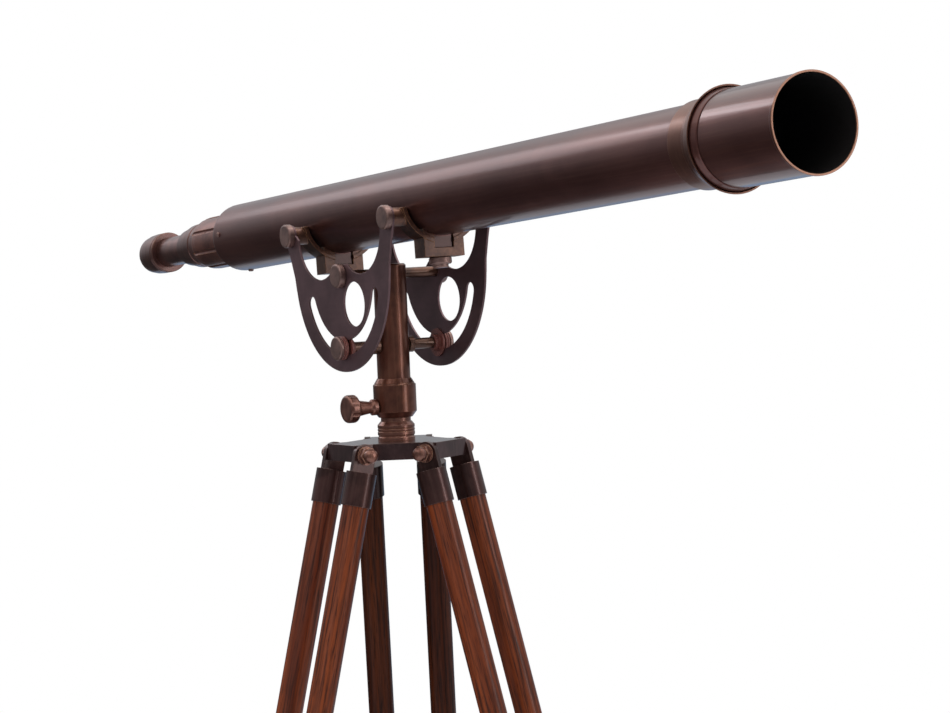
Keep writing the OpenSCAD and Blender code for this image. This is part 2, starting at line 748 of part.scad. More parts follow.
// Ring that carries the objective, flared at its front round the hood
module objective_cell() {
    band = tube_r + cell_wall;
    rise = lip_r - band;
    flare = lip_front - cell_step_at;
    spigot = hood_bore_r - seat_fit;
    color(BRONZE) along_tube(concat(
        [[tube_r + seat_fit, cell_back], [band - cell_wall / 4, cell_back],
         [band, cell_back + cell_wall / 4], [band, cell_step_at]],
        [for (p = FLARE) [band + rise * p[0], cell_step_at + flare * p[1]]],
        [[lip_r - lip_wall, lip_front], [lip_r - 1.4 * lip_wall, lip_front - lip_wall],
         [hood_r + side_gap, hood_back - seat_fit], [spigot, hood_back - seat_fit],
         [spigot, hood_back + spigot_len], [spigot - hood_wall, hood_back + spigot_len],
         [lens_hold_r, cell_seat], [lens_hold_r, lens_front],
         [tube_bore_r - side_gap, lens_front], [tube_bore_r - side_gap, tube_front_len],
         [tube_r + seat_fit, tube_front_len]]
    ));
}

// Objective lens, bowed on both faces
module objective_lens() {
    r = tube_bore_r - 0.5;
    bow_front = 2.1;
    bow_back = 2.6;
    rim = 1 - pow(lens_hold_r / r, 2);
    front = lens_front - seat_fit - bow_front * rim;
    color(GLASS) along_tube(concat(
        [for (t = [0 : 0.125 : 1]) [r * t, front + bow_front * (1 - t * t)]],
        [for (t = [1 : -0.125 : 0]) [r * t, lens_back - bow_back * (1 - t * t)]]
    ));
}

module dew_hood() {
    color(BRONZE) along_tube([
        [hood_bore_r, hood_back + seat_fit], [hood_r, hood_back + seat_fit],
        [hood_r, hood_front - 4], [hood_rim_r, hood_front - 2.6], [hood_rim_r, hood_front],
        [hood_bore_r + 0.3, hood_front], [hood_bore_r, hood_front - 0.6]
    ]);
}

// Steps of the collar: share of the way from its narrow end to its wide one, and of its length
COLLAR = [
    [1, 0], [1, 0.055], [0.82, 0.073], [0.82, 0.2], [0.71, 0.22], [0.71, 0.255], [0.82, 0.273],
    [0.76, 0.511], [0.56, 0.536], [0.5, 0.693], [0.35, 0.719], [0.26, 0.912], [0, 0.94], [0, 1]
];

// Bearing for the draw tube: a disc inside the tail and the stepped collar behind the grip
module rear_bush() {
    bore = draw_r + run_fit;
    disc = tube_bore_r - seat_fit;
    wide = grip_d / 2 - grip_relief;
    narrow = draw_r + 2.3;
    color(BRONZE) along_tube(concat(
        [[bore, tail_face + bush_disc_t], [disc, tail_face + bush_disc_t],
         [disc, tail_face + seat_fit], [grip_core, tail_face + seat_fit],
         [grip_core, grip_back - seat_fit]],
        [for (p = COLLAR)
            [narrow + (wide - narrow) * p[0], grip_back - seat_fit - (collar_len - 1.2) * p[1]]],
        [[narrow - 1.2, collar_back], [bore, collar_back]]
    ));
}

// Fluted ring that is held to steady the eyepiece end
module grip_ring() {
    r = grip_d / 2;
    core = grip_core + seat_fit;
    groove = 2.2;
    color(COPPER) in_cradle() translate([0, 0, pivot_to_tube]) rotate([0, 90, 0]) difference() {
        rotate_extrude() polygon([
            [core, grip_front], [r - 1, grip_front], [r, grip_front - 1], [r, grip_front - 3],
            [r - 0.8, grip_front - 4], [r - 0.8, grip_front - 6], [r, grip_front - 7],
            [r, grip_back + 14], [r - 0.5, grip_back + 6], [r - 1.6, grip_back + 2],
            [r - grip_relief, grip_back], [core, grip_back]
        ]);
        for (i = [0 : grip_flutes - 1]) rotate([0, 0, (i + 0.5) * 360 / grip_flutes])
            translate([r + 0.4, 0, grip_back + 3]) cylinder(r = groove, h = grip_len - 12, $fn = FAST);
    }
}

module draw_tube() {
    stop_r = draw_r + 4;
    color(BRONZE) along_tube([
        [draw_r - draw_wall, draw_back], [draw_r, draw_back], [draw_r, draw_front - 4],
        [stop_r, draw_front - 4], [stop_r, draw_front], [draw_r - draw_wall, draw_front]
    ]);
}

// Domed eyecup with a flange in front, over the end of the draw tube
module eyecup() {
    r = eyecup_d / 2;
    f = eyecup_front;
    b = eyecup_back;
    socket = draw_r + seat_fit;
    floor_at = f - draw_socket - seat_fit;
    color(DARK_BRONZE) along_tube([
        [socket, f], [r - 0.8, f], [r, f - 0.8], [r, f - 2.6], [r - 1, f - 3.4], [r - 1, f - 4.8],
        [r, f - 5.8], [r, f - 18], [r - 0.5, b + 24], [r - 2, b + 14], [r - 5, b + 7],
        [r - 9, b + 2.4], [eye_edge_r, b], [7, b], [6, b + 2], [6, eye_face],
        [eye_bore_r, eye_face], [eye_bore_r, floor_at], [socket, floor_at]
    ]);
}

module eye_lens() {
    r = eye_bore_r - seat_fit;
    back = eye_face + seat_fit;
    front = eyecup_front - draw_socket - side_gap;
    color(GLASS) along_tube(concat(
        [for (t = [0 : 0.25 : 1]) [r * t, front + 1.2 - 1.2 * t * t]],
        [for (t = [1 : -0.25 : 0]) [r * t, back]]
    ));
}

head_plate();
spindle();
spindle_nut();
for (i = [0 : 2]) {
    hinge_bolt(i);
    ferrules(i);
    upper_rod(i, -1);
    upper_rod(i, 1);
    bracket(i);
    guide(i);
    lower_rod(i);
    shoe(i);
    leg_knob(i);
}
pillar();
sleeve();
pivot_rod();
clamp_rod();
pivot_knob(-1);  // pivot_knob_near
pivot_knob(1);  // pivot_knob_far
clamp_washers();
pan_thumbscrew();
clamp_knob(-1);  // clamp_knob_near
clamp_knob(1);  // clamp_knob_far
side_plate(-1);  // plate_near
side_plate(1);  // plate_far
saddle(1);  // saddle_front
saddle(-1);  // saddle_rear
horn_bolt(1, -1);  // horn_bolt_front_near
horn_bolt(1, 1);  // horn_bolt_front_far
horn_bolt(-1, -1);  // horn_bolt_rear_near
horn_bolt(-1, 1);  // horn_bolt_rear_far
saddle_screw(1);  // saddle_screw_front
saddle_screw(-1);  // saddle_screw_rear
main_tube();
objective_cell();
objective_lens();
dew_hood();
rear_bush();
grip_ring();
draw_tube();
eyecup();
eye_lens();
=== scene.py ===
"""Looks of the floor standing telescope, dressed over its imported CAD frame."""

import json
import math

import bmesh
import bpy
from mathutils import Matrix, Vector


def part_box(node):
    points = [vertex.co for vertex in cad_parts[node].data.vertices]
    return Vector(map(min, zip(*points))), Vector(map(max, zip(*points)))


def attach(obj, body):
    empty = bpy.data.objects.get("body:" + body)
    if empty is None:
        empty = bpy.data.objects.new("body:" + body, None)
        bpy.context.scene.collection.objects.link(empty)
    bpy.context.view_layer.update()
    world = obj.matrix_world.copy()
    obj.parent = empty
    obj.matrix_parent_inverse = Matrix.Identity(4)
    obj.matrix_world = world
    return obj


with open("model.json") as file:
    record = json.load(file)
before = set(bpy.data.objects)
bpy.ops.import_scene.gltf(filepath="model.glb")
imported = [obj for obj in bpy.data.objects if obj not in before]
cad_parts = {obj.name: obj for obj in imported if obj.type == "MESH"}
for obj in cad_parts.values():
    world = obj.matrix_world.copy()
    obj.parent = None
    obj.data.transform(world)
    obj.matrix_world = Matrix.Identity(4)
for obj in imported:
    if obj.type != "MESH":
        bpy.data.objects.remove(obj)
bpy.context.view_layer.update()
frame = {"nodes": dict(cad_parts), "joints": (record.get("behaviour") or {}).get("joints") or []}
nodes, scene = frame["nodes"], bpy.context.scene
joint = {j["name"]: j for j in frame["joints"]}

# Places taken from the frame, and sizes of the part, in metres
AXIS = Vector(joint["pan"]["pos_m"])                     # a point on the tripod's own axis
PIVOT = Vector(joint["tilt"]["pos_m"])
FOCUS = Vector(joint["focus"]["axis"])
TUBE_DIR = (FOCUS if FOCUS.x > 0 else -FOCUS).normalized()
TUBE_UP = Vector((-TUBE_DIR.z, 0, TUBE_DIR.x))
TILT = math.atan2(TUBE_DIR.z, TUBE_DIR.x)
PIVOT_TO_TUBE = 0.0624
TUBE_MID = PIVOT + TUBE_UP * PIVOT_TO_TUBE               # balance point on the tube's axis
TUBE_R = 0.035
RIM_R = 0.041                                            # the hood's rolled rim
HOOD_LEN = 0.117
HOOD_FRONT = (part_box("dew_hood")[1].x - TUBE_MID.x - RIM_R * TUBE_DIR.z) / TUBE_DIR.x
HOOD_BACK = HOOD_FRONT - HOOD_LEN                        # where the hood meets the objective cell
TUBE_INSIDE, HOOD_INSIDE, CELL_INSIDE = 0.0337, 0.03935, 0.0392    # blackened within these radii
FEET_R = 0.0356                                          # what is further out on the tube is a foot, which gets painted shade in a darker brown
LEG_ANGLES = {"leg_a": -90, "leg_b": 30, "leg_c": 150}
REAR_LEG = "leg_c"
SPLAY = 14
WOODEN = ("rod_left", "rod_right", "lower_rod")
TINY = 1e-6


def srgb(r, g, b):
    """A colour written 0 to 255 as it is seen, as linear values."""
    def one(c):
        c /= 255
        return c / 12.92 if c <= 0.04045 else ((c + 0.055) / 1.055) ** 2.4
    return (one(r), one(g), one(b), 1)


# Node materials
EDGE_LOW, EDGE_HIGH = 0.015, 0.22                        # turn of the normal that counts as an edge
SURFACE_IOR = 1.5


class Tree:
    """A material and short ways to add nodes to it."""

    def __init__(self, name):
        self.mat = bpy.data.materials.new(name)
        self.mat.use_nodes = True
        self.nt = self.mat.node_tree
        self.bsdf = self.nt.nodes["Principled BSDF"]
        self.coord = self.nt.nodes.new("ShaderNodeTexCoord")

    def put(self, socket, value):
        if isinstance(value, bpy.types.NodeSocket):
            self.nt.links.new(value, socket)
        else:
            socket.default_value = value

    def place(self, rotation=(0, 0, 0), location=(0, 0, 0)):
        """The object's own coordinates, turned and moved."""
        n = self.nt.nodes.new("ShaderNodeMapping")
        n.inputs["Rotation"].default_value = rotation
        n.inputs["Location"].default_value = location
        self.nt.links.new(self.coord.outputs["Object"], n.inputs["Vector"])
        return n.outputs[0]

    def stretch(self, vector, scale):
        n = self.nt.nodes.new("ShaderNodeVectorMath")
        n.operation = "MULTIPLY"
        self.nt.links.new(vector, n.inputs[0])
        n.inputs[1].default_value = scale
        return n.outputs[0]

    def noise(self, vector, scale, detail=3, rough=0.55, distortion=0):
        n = self.nt.nodes.new("ShaderNodeTexNoise")
        self.nt.links.new(vector, n.inputs["Vector"])
        n.inputs["Scale"].default_value = scale
        n.inputs["Detail"].default_value = detail
        n.inputs["Roughness"].default_value = rough
        n.inputs["Distortion"].default_value = distortion
        return n.outputs["Fac"]

    def math(self, op, a, b=0.0, clamp=False):
        n = self.nt.nodes.new("ShaderNodeMath")
        n.operation = op
        n.use_clamp = clamp
        self.put(n.inputs[0], a)
        self.put(n.inputs[1], b)
        return n.outputs[0]

    def spread(self, value, low, high, to_low=0.0, to_high=1.0):
        n = self.nt.nodes.new("ShaderNodeMapRange")
        n.interpolation_type = "SMOOTHSTEP"
        for name, v in (("Value", value), ("From Min", low), ("From Max", high),
                        ("To Min", to_low), ("To Max", to_high)):
            self.put(n.inputs[name], v)
        return n.outputs[0]

    def less(self, value):
        return self.math("SUBTRACT", 1.0, value)

    def mix(self, fac, a, b):
        n = self.nt.nodes.new("ShaderNodeMix")
        n.data_type = "RGBA"
        self.put(n.inputs[0], fac)
        self.put(n.inputs[6], a)                         # the colour sockets come after the plain ones
        self.put(n.inputs[7], b)
        return n.outputs[2]

    def split(self, vector):
        n = self.nt.nodes.new("ShaderNodeSeparateXYZ")
        self.nt.links.new(vector, n.inputs[0])
        return n.outputs

    def length(self, a, b):
        return self.math("SQRT", self.math("ADD", self.math("MULTIPLY", a, a), self.math("MULTIPLY", b, b)))

    def edge(self, radius):
        """1 on sharp edges and 0 on open surface, with the rounded normal that found them."""
        bevel = self.nt.nodes.new("ShaderNodeBevel")
        bevel.samples = 4
        bevel.inputs["Radius"].default_value = radius
        geo = self.nt.nodes.new("ShaderNodeNewGeometry")
        dot = self.nt.nodes.new("ShaderNodeVectorMath")
        dot.operation = "DOT_PRODUCT"
        self.nt.links.new(bevel.outputs[0], dot.inputs[0])
        self.nt.links.new(geo.outputs["Normal"], dot.inputs[1])
        return self.spread(self.less(dot.outputs["Value"]), EDGE_LOW, EDGE_HIGH), bevel.outputs[0]

    def bump(self, height, strength, distance, normal=None):
        n = self.nt.nodes.new("ShaderNodeBump")
        n.inputs["Strength"].default_value = strength
        n.inputs["Distance"].default_value = distance
        self.nt.links.new(height, n.inputs["Height"])
        if normal is not None:
            self.nt.links.new(normal, n.inputs["Normal"])
        return n.outputs[0]

    def finish(self, color, rough, metallic, normal=None, coat=0.0, coat_rough=0.1):
        b = self.bsdf.inputs
        self.put(b["Base Color"], color)
        self.put(b["Roughness"], rough)
        self.put(b["Metallic"], metallic)
        b["Coat Weight"].default_value = coat
        b["Coat Roughness"].default_value = coat_rough
        b["IOR"].default_value = SURFACE_IOR
        if normal is not None:
            self.put(b["Normal"], normal)
            if coat:
                self.put(b["Coat Normal"], normal)
        return self.mat


METALLIC = 0.85
# the second colour is painted shade: the tube's feet, which sit in the saddle's notches, made a darker
# brown
BLACKENED, FEET_PAINTED_SHADE = srgb(16, 11, 11), srgb(64, 38, 34)
BLACK_FADE, FOOT_FADE = 0.0003, 0.0006                   # widths over which these colours set in
RIM_DARK, RIM_LIP = (-0.0012, -0.0004), (-0.0009, -0.0002)         # fades before the hood's rim


def patina(name, body, deep, bright, brush, rough=0.34, coat=0.4, coat_rough=0.12, edge_r=0.0009,
           mottle=14, streak=260, turn=(0, 0, 0), inside=None, rim=None, start=None, wear=0.75,
           lined=0.10, feet=None):
    """Darkened, lacquered brass: a mottled brown that is rubbed bright along its edges.
    brush is how far the marks are drawn out along each axis of the turned coordinates. Within the
    radius inside of the tube's axis it is black, up to the place rim and from the place start."""
    t = Tree(name)
    v = t.place(turn)
    cloud = t.noise(v, mottle, 4, 0.6, 0.4)
    fleck = t.noise(v, mottle * 9, 3, 0.7)
    lines = t.noise(t.stretch(v, brush), streak, 3, 0.6)
    color = t.mix(t.spread(cloud, 0.34, 0.68), deep, body)
    color = t.mix(t.math("MULTIPLY", t.spread(lines, 0.42, 0.72), lined), color, bright)
    color = t.mix(t.math("MULTIPLY", t.spread(fleck, 0.58, 0.78), 0.25), color, deep)
    mask, rounded = t.edge(edge_r)
    rub = t.math("MULTIPLY", mask, t.spread(t.noise(v, mottle * 4, 3), 0.28, 0.6, 0.35, wear))
    color = t.mix(rub, color, bright)
    uneven = t.math("MULTIPLY", t.math("SUBTRACT", cloud, 0.5), 0.12)
    scored = t.math("MULTIPLY", t.math("SUBTRACT", lines, 0.5), 0.08)
    r = t.math("ADD", uneven, t.math("ADD", scored, rough))
    normal = t.bump(lines, 0.03, 0.0002, t.bump(fleck, 0.02, 0.0003, rounded))
    metal = METALLIC
    if inside is not None:
        along, y, z = t.split(t.place(TUBE_TURN, -(Matrix.Rotation(TILT, 3, "Y") @ TUBE_MID)))
        far = t.length(y, z)
        dark = t.less(t.spread(far, inside, inside + BLACK_FADE))
        if start is not None:
            dark = t.math("MULTIPLY", dark, t.math("GREATER_THAN", along, start))
        if rim is not None:
            dark = t.math("MULTIPLY", dark, t.less(t.spread(along, *(rim + e for e in RIM_DARK))))
            lip = t.spread(along, *(rim + e for e in RIM_LIP))
            color = t.mix(t.math("MULTIPLY", lip, 0.5), color, bright)
        # painted shade: on the tube's feet the colour turns a darker brown
        if feet is not None:
            color = t.mix(t.spread(far, feet, feet + FOOT_FADE), color, FEET_PAINTED_SHADE)
        color = t.mix(dark, color, BLACKENED)
        metal = t.math("MULTIPLY", t.less(dark), METALLIC)
        r = t.math("ADD", r, t.math("MULTIPLY", dark, 0.45), clamp=True)
    return t.finish(color, r, metal, normal, coat, coat_rough)


WOOD_SHADES = (140, 64, 26), (98, 38, 14), (42, 15, 7)   # warm, red and deep


def shaded(shades, factor):
    """Colours written 0 to 255, each made darker by factor."""
    return (srgb(*(c * factor for c in shade)) for shade in shades)


def wood(name, turn, seed, dark, gloss):
    """Reddish brown turned hardwood with fine grain under a clear lacquer."""
    t = Tree(name)
    v = t.place(turn, (seed * 0.37, seed * 0.19, seed * 0.71))       # another cut of wood for each seed
    drift = t.noise(t.stretch(v, (1, 1, 0.08)), 30, 3, 0.55, 0.8)
    grain = t.noise(t.stretch(v, (1, 1, 0.03)), 420, 4, 0.65, 0.3)
    pores = t.noise(t.stretch(v, (1, 1, 0.04)), 1100, 2, 0.6)
    warm, red, deep = shaded(WOOD_SHADES, dark)
    color = t.mix(t.spread(drift, 0.32, 0.7), red, warm)
    color = t.mix(t.math("MULTIPLY", t.spread(grain, 0.42, 0.68), 0.85), color, deep)
    color = t.mix(t.math("MULTIPLY", t.spread(pores, 0.54, 0.70), 0.75), color, deep)
    mask, rounded = t.edge(0.0008)
    color = t.mix(t.math("MULTIPLY", mask, 0.5), color, deep)
    rough = t.spread(grain, 0.3, 0.8, 0.36, 0.5)
    normal = t.bump(pores, 0.14, 0.0002, t.bump(grain, 0.10, 0.0003, rounded))
    t.bsdf.inputs["Specular IOR Level"].default_value = gloss
    return t.finish(color, rough, 0.0, normal, gloss, 0.2)


def leg_turn(letter):
    """Euler turn that brings a leg's own axis onto Z."""
    swing = Matrix.Rotation(-math.radians(LEG_ANGLES[letter]), 3, "Z")
    return tuple((Matrix.Rotation(math.radians(SPLAY), 3, "Y") @ swing).to_euler("XYZ"))


TUBE_TURN = (0, TILT, 0)
BROWN, BROWN_DEEP, BROWN_BRIGHT = srgb(108, 66, 60), srgb(88, 50, 46), srgb(168, 124, 104)
DRAWN = dict(brush=(0.03, 1, 1), turn=TUBE_TURN, mottle=7, streak=420, lined=0.07)
POLISHED = dict(rough=0.32, coat=0.35, coat_rough=0.12)
made = {
    "tube": patina("tube_bronze", BROWN, BROWN_DEEP, BROWN_BRIGHT, coat=0.42, coat_rough=0.16,
                   inside=TUBE_INSIDE, feet=FEET_R, **DRAWN),
    "hood": patina("hood_bronze", BROWN, BROWN_DEEP, srgb(172, 122, 92), rough=0.30, coat=0.5,
                   coat_rough=0.08, inside=HOOD_INSIDE, rim=HOOD_FRONT, wear=0.7, **DRAWN),
    "shoulder": patina("shoulder_bronze", BROWN, BROWN_DEEP, BROWN_BRIGHT, rough=0.30, coat=0.5,
                       coat_rough=0.08, wear=0.1, edge_r=0.0002, **DRAWN),
    "cell": patina("cell_bronze", srgb(132, 90, 74), srgb(102, 66, 56), srgb(160, 118, 96),
                   (1, 0.2, 0.2), turn=TUBE_TURN, rough=0.36, coat=0.2, coat_rough=0.16, mottle=12,
                   inside=CELL_INSIDE, start=HOOD_BACK),
    "fitting": patina("fitting_bronze", srgb(156, 122, 114), srgb(116, 91, 86), srgb(200, 166, 146),
                      (1, 1, 1), rough=0.42, coat=0.3, coat_rough=0.2, mottle=40),
    "eyepiece": patina("eyepiece_bronze", srgb(132, 94, 88), srgb(100, 68, 64), srgb(200, 152, 120),
                       (1, 0.12, 0.12), turn=TUBE_TURN, coat_rough=0.14, mottle=22),
    "grip": patina("grip_copper", srgb(148, 96, 84), srgb(110, 68, 60), srgb(216, 154, 114),
                   (0.3, 1, 1), turn=TUBE_TURN, rough=0.36, coat_rough=0.14, mottle=24, lined=0.06),
    "plate": patina("plate_bronze", srgb(122, 94, 98), srgb(102, 78, 81), srgb(168, 142, 134),
                    (0.06, 1, 1), turn=TUBE_TURN, rough=0.46, coat=0.12, coat_rough=0.3, mottle=16,
                    edge_r=0.0006, lined=0.05),
    "saddle": patina("saddle_bronze", srgb(112, 78, 64), srgb(70, 46, 39), srgb(200, 142, 100),
                     (1, 1, 1), rough=0.38, coat=0.3, coat_rough=0.15, mottle=38),
    "pillar": patina("pillar_copper", srgb(140, 88, 70), srgb(96, 58, 48), srgb(204, 150, 116),
                     (1, 1, 0.03), mottle=20, streak=360, **POLISHED),
    "turned": patina("turned_copper", srgb(158, 108, 94), srgb(114, 76, 66), srgb(218, 164, 132),
                     (1, 1, 0.3), mottle=34, **POLISHED),
    "rod": patina("rod_bronze", srgb(110, 75, 61), srgb(70, 48, 41), srgb(200, 152, 116),
                  (1, 0.05, 1), mottle=34, **POLISHED),
    "head": patina("head_bronze", srgb(98, 70, 70), srgb(72, 50, 50), srgb(164, 132, 120),
                   (1, 1, 0.2), rough=0.30, coat=0.7, mottle=18),
}
LEG_SHADES = (96, 64, 60), (66, 42, 39), (164, 132, 120)           # body, deep and bright
for letter in LEG_ANGLES:
    # painted shade: the rear leg's metal is made darker, with a thinner coat
    painted_shade_dim = 0.72 if letter == REAR_LEG else 1.0
    made[letter + "_metal"] = patina(letter + "_bronze", *shaded(LEG_SHADES, painted_shade_dim), (1, 1, 0.03),
                                     turn=leg_turn(letter), rough=0.32, coat=0.4 * painted_shade_dim, mottle=26,
                                     edge_r=0.0007)


def fibre():
    """Reddish brown pressed fibre of the clamp's washers."""
    t = Tree("fibre_washer")
    v = t.place()
    grain = t.noise(v, 900, 4, 0.7)
    color = t.mix(t.spread(grain, 0.35, 0.7), srgb(92, 46, 40), srgb(140, 80, 70))
    mask, rounded = t.edge(0.0005)
    color = t.mix(t.math("MULTIPLY", mask, 0.7), color, srgb(196, 140, 126))
    return t.finish(color, 0.5, 0.2, t.bump(grain, 0.2, 0.0003, rounded), 0.2, 0.3)


def glass():
    """Lens glass with a faint violet coating."""
    t = Tree("coated_glass")
    v = t.place()
    haze = t.noise(v, 60, 2)
    color = t.mix(t.spread(haze, 0.3, 0.7), srgb(30, 34, 42), srgb(44, 48, 60))
    t.bsdf.inputs["Specular Tint"].default_value = (0.75, 0.7, 1.0, 1)
    return t.finish(color, 0.04, 0.0, None, 1.0, 0.03)


made["fibre"], made["glass"] = fibre(), glass()
REAR_PAINTED_SHADE, REAR_GLOSS, UNSHADED, GLOSS = 0.64, 0.1, 1.0, 0.25         # painted shade: the rear leg's wood is made darker, and less glossy
pieces = [(letter, part) for letter in LEG_ANGLES for part in WOODEN]
for seed, (letter, part) in enumerate(pieces, 1):
    painted_shade, gloss = (REAR_PAINTED_SHADE, REAR_GLOSS) if letter == REAR_LEG else (UNSHADED, GLOSS)
    made[f"{letter}_{part}"] = wood(f"wood_{letter}_{part}", leg_turn(letter), seed, painted_shade, gloss)

FINISH = {
    "main_tube": "tube", "dew_hood": "hood", "objective_cell": "cell", "rear_bush": "eyepiece",
    "draw_tube": "eyepiece", "eyecup": "eyepiece", "grip_ring": "grip", "objective_lens": "glass",
    "eye_lens": "glass", "plate_near": "plate", "plate_far": "plate", "saddle_front": "saddle",
    "saddle_rear": "saddle", "pillar": "pillar", "sleeve": "pillar", "spindle": "turned",
    "spindle_nut": "turned", "pan_thumbscrew": "turned", "pivot_rod": "rod", "clamp_rod": "rod",
    "clamp_washers": "fibre", "head_plate": "head",
}


def finish_of(name):
    """Which of the made materials a node of the frame wears."""
    letter, part = name[:5], name[6:]
    if letter not in LEG_ANGLES:
        return FINISH.get(name, "fitting")
    if part in WOODEN:
        return name
    return "turned" if part in ("hinge_bolt", "knob") else letter + "_metal"


for name, o in nodes.items():
    o.data.materials.clear()
    o.data.materials.append(made[finish_of(name)])


# Small pieces the solids leave out
def new_object(name, bm):
    """An object made of the mesh bm, which is used up."""
    mesh = bpy.data.meshes.new(name)
    bm.to_mesh(mesh)
    bm.free()
    o = bpy.data.objects.new(name, mesh)
    scene.collection.objects.link(o)
    return o


def lathe(name, profile, base, axis, key, turns, slit=None):
    """A turned piece that rides on the telescope. profile is radius and height from base along axis,
    and slit is the half width and depth of a driver's slot. A profile that ends where it begins
    makes a closed ring."""
    bm = bmesh.new()
    steps = [2 * math.pi * k / turns for k in range(turns)]
    rings = []
    for r, h in profile:
        places = [(r * math.cos(a), r * math.sin(a), h) for a in steps] if r > TINY else [(0, 0, h)]
        rings.append([bm.verts.new(p) for p in places])
    for a, b in zip(rings, rings[1:]):
        for k in range(turns):
            k2 = (k + 1) % turns
            corners = [a[k % len(a)], a[k2 % len(a)], b[k2 % len(b)], b[k % len(b)]]
            corners = list(dict.fromkeys(corners))
            if len(corners) > 2:
                bm.faces.new(corners)
    bmesh.ops.remove_doubles(bm, verts=bm.verts, dist=TINY)
    if slit:
        half_width, depth = slit
        top = max(h for _, h in profile)
        for v in bm.verts:
            if abs(v.co.x) < half_width and v.co.z > top - depth * 1.5:
                v.co.z -= depth
    bmesh.ops.recalc_face_normals(bm, faces=bm.faces)
    o = new_object(name, bm)
    turn = Vector(axis).to_track_quat("Z", "Y").to_matrix().to_4x4()
    o.data.transform(Matrix.Translation(base) @ turn)
    for p in o.data.polygons:
        p.use_smooth = True
    o.data.materials.append(made[key])
    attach(o, "telescope")


def round_head(r, h, under):
    """Profile of a low domed screw head that reaches a little under the surface it sits on."""
    return [(0, -under), (r, -under), (r, h * 0.35), (r * 0.96, h * 0.62), (r * 0.8, h * 0.86),
            (r * 0.45, h), (0, h)]


SCREW_AT = -0.3065                                       # place along the tube of the tail's screws
SCREW = round_head(0.0028, 0.0019, 0.0015)
SCREW_SLIT = (0.00045, 0.0007)
for name, turn in (("tail_screw_near", 5), ("tail_screw_low", -90), ("tail_screw_far", 175)):
    out = Vector((0, -math.cos(math.radians(turn)), 0)) + TUBE_UP * math.sin(math.radians(turn))
    lathe(name, SCREW, TUBE_MID + TUBE_DIR * SCREW_AT + out * TUBE_R, out, "fitting", 32, SCREW_SLIT)

# the hood's low shoulder, which nearly closes the groove behind it at the cell's lip
SHOULDER = [(0.0402, 0.0012), (0.0402, 0.0150), (0.0406, 0.0122), (0.0412, 0.0092), (0.0418, 0.0068),
            (0.0421, 0.0054), (0.0421, 0.0046), (0.0409, 0.0012), (0.0402, 0.0012)]
lathe("hood_shoulder", SHOULDER, TUBE_MID + TUBE_DIR * HOOD_BACK, TUBE_DIR, "shoulder", 128)

# Camera, fitted to the photograph
CAMERA_TURN = (150.367, -2.433, -2.4531)                 # azimuth and rise of the look, and roll
CAMERA_AT = (2.6347, -1.4079, 1.4114)                    # from the tripod's axis, and height
FOCAL_PX, IMAGE_PX, SENSOR_MM = 3097.6, 950, 36
az, el, roll = (math.radians(a) for a in CAMERA_TURN)
look = Vector((math.cos(el) * math.cos(az), math.cos(el) * math.sin(az), math.sin(el)))
right = look.cross(Vector((0, 0, 1))).normalized()
up = right.cross(look)
right, up = math.cos(roll) * right + math.sin(roll) * up, -math.sin(roll) * right + math.cos(roll) * up
cam = bpy.data.objects.new("camera", bpy.data.cameras.new("camera"))
scene.collection.objects.link(cam)
cam.data.sensor_width, cam.data.sensor_fit = SENSOR_MM, "HORIZONTAL"
cam.data.lens = SENSOR_MM * FOCAL_PX / IMAGE_PX
cam.data.clip_start, cam.data.clip_end = 0.05, 200
stand = Matrix((right, up, -look)).transposed().to_4x4()
stand.translation = Vector((CAMERA_AT[0] + AXIS.x, CAMERA_AT[1] + AXIS.y, CAMERA_AT[2]))
cam.matrix_world = stand
scene.camera = cam


# Studio
def lamp(name, place, aim, width, height, power, color=(1, 1, 1)):
    """A soft rectangular lamp at place, which is from AIM, that points at aim."""
    data = bpy.data.lights.new(name, "AREA")
    data.shape, data.size, data.size_y = "RECTANGLE", width, height
    data.energy, data.color = power, color
    o = bpy.data.objects.new(name, data)
    scene.collection.objects.link(o)
    o.location = AIM + Vector(place)
    o.rotation_mode = "QUATERNION"
    o.rotation_quaternion = (aim - o.location).to_track_quat("-Z", "Y")
    return o


AIM = Vector((TUBE_MID.x, TUBE_MID.y, 1.35))             # middle of what the photograph shows
HOOD_MID = TUBE_MID + TUBE_DIR * 0.55
lamp("softbox_back", (-3.1, -0.9, 1.6), AIM, 1.5, 0.9, 6.0, (0.93, 0.95, 1.0))
lamp("softbox_hood", (-1.08, -0.57, 1.07), HOOD_MID, 0.5, 0.22, 1.0, (0.9, 0.94, 1.0))
lamp("softbox_top", (0.3, 0.6, 2.6), AIM, 1.2, 1.2, 16)
lamp("softbox_right", (2.6, 1.6, 0.3), AIM, 0.7, 1.7, 10)
fill = lamp("softbox_front", (1.6, -3.2, 0.9), AIM, 2.4, 1.6, 34)
fill.visible_glossy = False

RING, CARD_TOP = 3.4, 3.4                                # how far away the grey cards stand, their height
CARD_TINT, LOW_TINT = (0.92, 0.95, 1.0), (0.42, 0.66, 1.0)


def outward(turn, distance, z):
    """A point at a height z, seen from the middle of the studio in the direction turn."""
    turn = math.radians(turn)
    return Vector((AIM.x + math.cos(turn) * distance, AIM.y + math.sin(turn) * distance, z))


